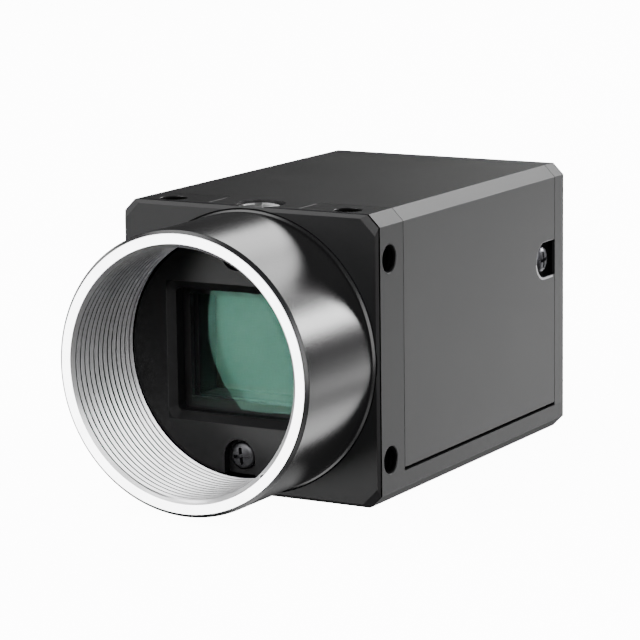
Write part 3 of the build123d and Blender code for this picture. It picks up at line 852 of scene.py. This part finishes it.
@dataclass(frozen=True)
class ScrewSize:
    """Sizes of a pan-head screw and of the cross in its head."""

    head_radius: float
    head_height: float
    shank_radius: float
    shank_length: float
    recess_share: float = 0.62
    blade_share: float = 0.26
    rim_share: float = 0.3
    recess_taper: float = 0.86
    tip_length_share: float = 0.4
    tip_radius_share: float = 0.6
    steps: int = 40

    @property
    def rim(self) -> float:
        """Height of the head's upright rim, which is also the cross's floor."""
        return self.head_height * self.rim_share

    def outline(self) -> list[tuple[float, float]]:
        """Half outline of the screw from the dome's top to the tip, as radius and height."""
        rise = self.head_height - self.rim
        angles = [math.radians(degrees) for degrees in range(0, 91, 15)]
        dome = [(self.head_radius * math.sin(angle), self.rim + rise * math.cos(angle)) for angle in angles]
        return dome + [
            (self.head_radius, 0.0),
            (self.shank_radius, 0.0),
            (self.shank_radius, self.shank_radius * self.tip_length_share - self.shank_length),
            (self.shank_radius * self.tip_radius_share, -self.shank_length),
            (0.0, -self.shank_length),
        ]


@dataclass
class PanScrew:
    """Pan-head screw with a cross recess, made upright and then put in place."""

    size: ScrewSize
    seat: Place
    side: Side
    turn: float

    def shape(self) -> bmesh.types.BMesh:
        """Spins the screw, sinks its cross and moves it to its seat."""
        shape = bmesh.new()
        corners = [shape.verts.new((radius, 0.0, height)) for radius, height in self.size.outline()]
        edges = [shape.edges.new(pair) for pair in zip(corners, corners[1:])]
        bmesh.ops.spin(shape, geom=corners + edges, axis=(0, 0, 1), cent=(0, 0, 0),
                       angle=math.tau, steps=self.size.steps, use_merge=True)
        bmesh.ops.remove_doubles(shape, verts=shape.verts, dist=2 * MERGE_DISTANCE)
        self.sink_cross(shape)
        bmesh.ops.recalc_face_normals(shape, faces=shape.faces)
        lean = Vector((0, 0, 1)).rotation_difference(Vector(self.side.value)).to_matrix().to_4x4()
        spun = Matrix.Rotation(math.radians(self.turn), 4, "Z")
        place = Matrix.Translation(Vector(self.seat)) @ lean @ spun
        bmesh.ops.transform(shape, matrix=place, verts=shape.verts)
        return shape

    def sink_cross(self, shape: bmesh.types.BMesh) -> None:
        """Cuts the cross's outline into the dome and pushes it down."""
        reach = self.size.head_radius * self.size.recess_share
        half = self.size.head_radius * self.size.blade_share / 2
        for axis in ((1, 0, 0), (0, 1, 0)):
            for offset in (-reach, -half, half, reach):
                top = [face for face in shape.faces if face.calc_center_median().z > self.size.rim]
                geometry = list({item for face in top for item in (*face.verts, *face.edges)}) + top
                bmesh.ops.bisect_plane(shape, geom=geometry, plane_co=Vector(axis) * offset, plane_no=axis)
        chosen = [face for face in shape.faces if self.in_cross(face.calc_center_median(), reach, half)]
        pushed = bmesh.ops.extrude_face_region(shape, geom=chosen)
        bmesh.ops.delete(shape, geom=chosen, context="FACES_ONLY")
        floor = [item for item in pushed["geom"] if isinstance(item, bmesh.types.BMVert)]
        for vert in floor:
            vert.co.x *= self.size.recess_taper
            vert.co.y *= self.size.recess_taper
            vert.co.z = self.size.rim

    def in_cross(self, centre: Vector, reach: float, half: float) -> bool:
        """Whether a face of the dome lies in the cross."""
        wide, narrow = max(abs(centre.x), abs(centre.y)), min(abs(centre.x), abs(centre.y))
        return centre.z > self.size.rim and wide < reach and narrow < half


@dataclass
class Screws:
    """Screws that show: two in the mask, one in the tongue, one in each side."""

    finishes: Finishes
    mask_size: ScrewSize = ScrewSize(1.4 * MM, 0.8 * MM, 0.72 * MM, 3.1 * MM)
    mask_seat: Place = (0.0, 11.64 * MM, 10.2 * MM)
    mask_turn: float = 8.0
    front_size: ScrewSize = ScrewSize(2.2 * MM, 0.52 * MM, 0.92 * MM, 2.3 * MM, 0.7, 0.36)
    front_seat: Place = (-0.22 * MM, 15.54 * MM, 13.95 * MM)
    front_turn: float = 32.0
    side_size: ScrewSize = ScrewSize(1.45 * MM, 0.75 * MM, 0.78 * MM, 1.55 * MM)
    side_seat: Place = (13.7 * MM, 50.34 * MM, 4.65 * MM)
    side_turns: tuple[float, float] = (5.0, 30.0)
    smooth_angle: float = 30.0

    def join(self, name: str, node: str, screws: list[PanScrew],
             material: bpy.types.Material) -> bpy.types.Object:
        """Makes one piece of several screws, which stands for their node.

        Args:
            name: the piece's name.
            node: the CAD node that it replaces.
            screws: the screws in place.
            material: their finish.

        Returns:
            The new piece.
        """
        whole = bmesh.new()
        for screw in screws:
            pour(screw.shape(), whole)
        piece = put_in_scene(name, whole, (material,))
        smooth_by_angle(piece, self.smooth_angle)
        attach(piece, "root")
        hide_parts(node)
        return piece

    def build(self) -> list[bpy.types.Object]:
        """Makes the three sets of screws."""
        x, y, z = self.mask_seat
        mask = [PanScrew(self.mask_size, (x, y, height), Side.FRONT, self.mask_turn) for height in (z, -z)]
        front = [PanScrew(self.front_size, self.front_seat, Side.TOP, self.front_turn)]
        x, y, z = self.side_seat
        sides = [PanScrew(self.side_size, (x, y, z), Side.RIGHT, self.side_turns[0]),
                 PanScrew(self.side_size, (-x, y, z), Side.LEFT, self.side_turns[1])]
        return [
            self.join("mask_pan_screws", "mask_screws", mask, self.finishes.grey_steel),
            self.join("cover_front_pan_screw", "cover_front_screw", front, self.finishes.zinc),
            self.join("cover_side_pan_screws", "cover_side_screws", sides, self.finishes.dark_steel),
        ]


@dataclass
class Housing:
    """Cast housing pieces, mask and the optical stack, kept as the frame has them."""

    finishes: Finishes

    def dress(self) -> list[str]:
        """Gives each CAD node of the body its finish."""
        made = self.finishes
        return dress_nodes({
            "front_plate": made.casting_coat,
            "front_housing": made.casting_coat,
            "top_cover": made.coat,
            "rear_panel": made.coat,
            "sensor_mask": made.mask,
            "filter_glass": made.filter,
            "sensor_seal": made.seal,
            "sensor_cover_glass": made.cover_glass,
            "sensor_package": made.ceramic,
            "sensor_die": made.silicon,
        })


@dataclass
class Electronics:
    """Boards, chips, spacers and the connectors on the rear."""

    finishes: Finishes

    def dress(self) -> list[str]:
        """Gives each CAD node of the electronics its finish."""
        made = self.finishes
        return dress_nodes({
            "sensor_board": made.board,
            "main_board": made.board,
            "interface_board": made.board,
            "front_standoffs": made.brass,
            "rear_standoffs": made.brass,
            "board_screws": made.zinc,
            "sensor_link": made.chip,
            "interface_link": made.chip,
            "processor_chip": made.chip,
            "memory_chips": made.chip,
            "network_socket_shell": made.nickel,
            "network_socket_insert": made.black_plastic,
            "network_contacts": made.gold,
            "io_connector_shell": made.nickel,
            "io_connector_insert": made.black_plastic,
            "io_connector_pins": made.gold,
            "status_led": made.light_chip,
            "status_light_pipe": made.light_pipe,
        })


def dress_nodes(chosen: dict[str, bpy.types.Material]) -> list[str]:
    """Puts one finish on each named CAD node.

    Args:
        chosen: node name to its material.

    Returns:
        The names that were dressed.
    """
    for name, material in chosen.items():
        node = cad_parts[name]
        if not node.material_slots:
            node.data.materials.append(material)
        for slot in node.material_slots:
            slot.material = material
    return list(chosen)


@dataclass
class Stage:
    """Pale floor and backdrop, and soft studio lights, each with its name, place, size and watts."""

    finishes: Finishes
    floor_height: float = -14.53 * MM
    floor_half: float = 1.4
    backdrop_radius: float = 2.2
    world_light: float = 0.045
    aim: Place = (0.0, 0.02, 0.0)
    lights: list[Lamp] = field(default_factory=lambda: [
        ("rear_right_low", (0.40, 0.72, 0.20), (0.22, 0.12), 3.3),
        ("rear_right_high", (0.36, 0.66, 0.40), (0.24, 0.24), 0.36),
        ("rear_mid_high", (0.12, 0.66, 0.40), (0.24, 0.24), 1.56),
        ("rear_left_high", (-0.14, 0.66, 0.40), (0.24, 0.24), 1.4),
        ("rear_below", (0.18, 0.66, -0.34), (0.24, 0.16), 0.6),
        ("rear_left_below", (-0.14, 0.66, -0.40), (0.24, 0.20), 0.07),
        ("right_below", (0.42, 0.66, -0.22), (0.16, 0.16), 0.2),
        ("mid_below", (0.26, 0.66, -0.12), (0.14, 0.14), 0.27),
        ("over_left", (-0.36, -0.14, 0.62), (0.40, 0.40), 2.6),
        ("front_high", (-0.12, -0.60, 0.48), (0.50, 0.30), 2.6),
        ("front_high_right", (0.24, -0.60, 0.34), (0.26, 0.30), 1.6),
        ("face_panel", (-0.420, -0.665, -0.160), (0.20, 0.20), 1.3),
        ("front_left", (-0.40, -0.64, 0.15), (0.30, 0.25), 1.2),
        ("right_front", (0.66, -0.40, 0.10), (0.25, 0.50), 2.4),
        ("right_low", (0.50, -0.30, -0.50), (0.30, 0.30), 0.5),
        ("right_high", (0.55, 0.0, 0.52), (0.20, 0.20), 0.3),
        ("right_side", (0.70, 0.02, 0.14), (0.40, 0.40), 2.0),
        ("left_side", (-0.70, 0.02, 0.14), (0.40, 0.40), 2.0),
        ("underneath", (0.10, 0.05, -0.70), (0.40, 0.40), 2.4),
    ])

    def build(self) -> None:
        """Lays the floor, puts the backdrop round it, hangs the lights and sets the world."""
        sheet = bmesh.new()
        bmesh.ops.create_grid(sheet, x_segments=8, y_segments=8, size=self.floor_half)
        bmesh.ops.translate(sheet, verts=sheet.verts, vec=(0, 0, self.floor_height))
        floor = put_in_scene("studio_floor", sheet, (self.finishes.floor,))
        ball = bmesh.new()
        bmesh.ops.create_icosphere(ball, subdivisions=4, radius=self.backdrop_radius)
        bmesh.ops.reverse_faces(ball, faces=ball.faces)
        backdrop = put_in_scene("studio_backdrop", ball, (self.finishes.floor,))
        for piece in (floor, backdrop):
            piece.visible_diffuse = piece.visible_glossy = piece.visible_shadow = False
        for name, place, size, power in self.lights:
            self.soft_light(name, Vector(place), size, power)
        world = bpy.data.worlds.new("studio")
        bpy.context.scene.world = world
        world.use_nodes = True
        world.node_tree.nodes["Background"].inputs["Color"].default_value = (*[self.world_light] * 3, 1.0)

    def soft_light(self, name: str, place: Vector, size: Span, power: float) -> None:
        """Hangs one rectangular light, turned to the camera's body.

        Args:
            name: the light's name.
            place: where it hangs.
            size: its width and height in metres.
            power: its output in watts.
        """
        lamp = bpy.data.lights.new(name, "AREA")
        lamp.shape = "RECTANGLE"
        lamp.size, lamp.size_y = size
        lamp.energy = power
        holder = bpy.data.objects.new(name, lamp)
        holder.location = place
        holder.rotation_mode = "QUATERNION"
        holder.rotation_quaternion = (Vector(self.aim) - place).to_track_quat("-Z", "Y")
        bpy.context.scene.collection.objects.link(holder)


@dataclass
class Photographer:
    """Camera at the photograph's angle."""

    azimuth: float = 29.549
    elevation: float = 10.317
    roll: float = -0.735
    distance: float = 305.68 * MM
    target: Place = (4.589 * MM, 19.900 * MM, 3.176 * MM)
    focal_pixels: float = 3053.34
    centre_pixels: tuple[float, float] = (324.20, 312.45)
    picture: int = 640
    sensor: float = 36.0
    clip: Span = (0.01, 20.0)

    def build(self) -> None:
        """Makes the camera and gives it to the scene."""
        azimuth, elevation, roll = (math.radians(v) for v in (self.azimuth, self.elevation, self.roll))
        level = math.cos(elevation)
        back = Vector((math.sin(azimuth) * level, -math.cos(azimuth) * level, math.sin(elevation)))
        right = (-back).cross(Vector((0, 0, 1))).normalized()
        up = right.cross(-back)
        across = right * math.cos(roll) + up * math.sin(roll)
        upright = up * math.cos(roll) - right * math.sin(roll)
        lens = bpy.data.cameras.new("studio_camera")
        lens.sensor_width = self.sensor
        lens.lens = self.focal_pixels * self.sensor / self.picture
        lens.shift_x = (self.picture / 2 - self.centre_pixels[0]) / self.picture
        lens.shift_y = (self.centre_pixels[1] - self.picture / 2) / self.picture
        lens.clip_start, lens.clip_end = self.clip
        holder = bpy.data.objects.new("studio_camera", lens)
        place = Vector(self.target) + back * self.distance
        facing = Matrix((across, upright, back)).transposed().to_4x4()
        holder.matrix_world = Matrix.Translation(place) @ facing
        bpy.context.scene.collection.objects.link(holder)
        bpy.context.scene.camera = holder


def main() -> None:
    """Builds the classes in order and reports each piece."""
    logging.basicConfig(level=logging.INFO, format="%(name)s: %(message)s")
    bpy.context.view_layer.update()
    Photographer().build()
    finishes = Finishes()
    LOG.info("made %s", LensRing(finishes).build().name)
    for piece in Screws(finishes).build():
        LOG.info("made %s", piece.name)
    for name in Housing(finishes).dress() + Electronics(finishes).dress():
        LOG.info("dressed %s", name)
    Stage(finishes).build()


if __name__ == "__main__":
    main()
